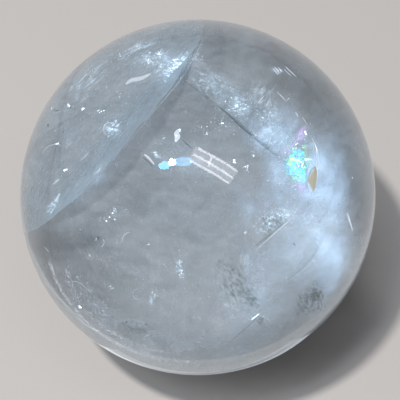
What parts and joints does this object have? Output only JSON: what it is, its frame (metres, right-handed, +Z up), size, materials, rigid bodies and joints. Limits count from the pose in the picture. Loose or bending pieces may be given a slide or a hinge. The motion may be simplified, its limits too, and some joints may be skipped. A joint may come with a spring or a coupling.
{
  "type": "quartz sphere",
  "caption": "Polished ball of cloudy rock crystal with a small level resting flat underneath.",
  "frame": {"origin": "middle of the resting flat under the ball", "axes": "+Z is up, from the resting flat through the ball's centre; +X to the right and -Y towards the viewer of the crack pattern"},
  "size_m": [0.06, 0.06, 0.0597],
  "materials": {
    "rock_crystal": "polished"
  },
  "bodies": {
    "root": {"quartz_ball": "rock_crystal"}
  },
  "joints": []
}
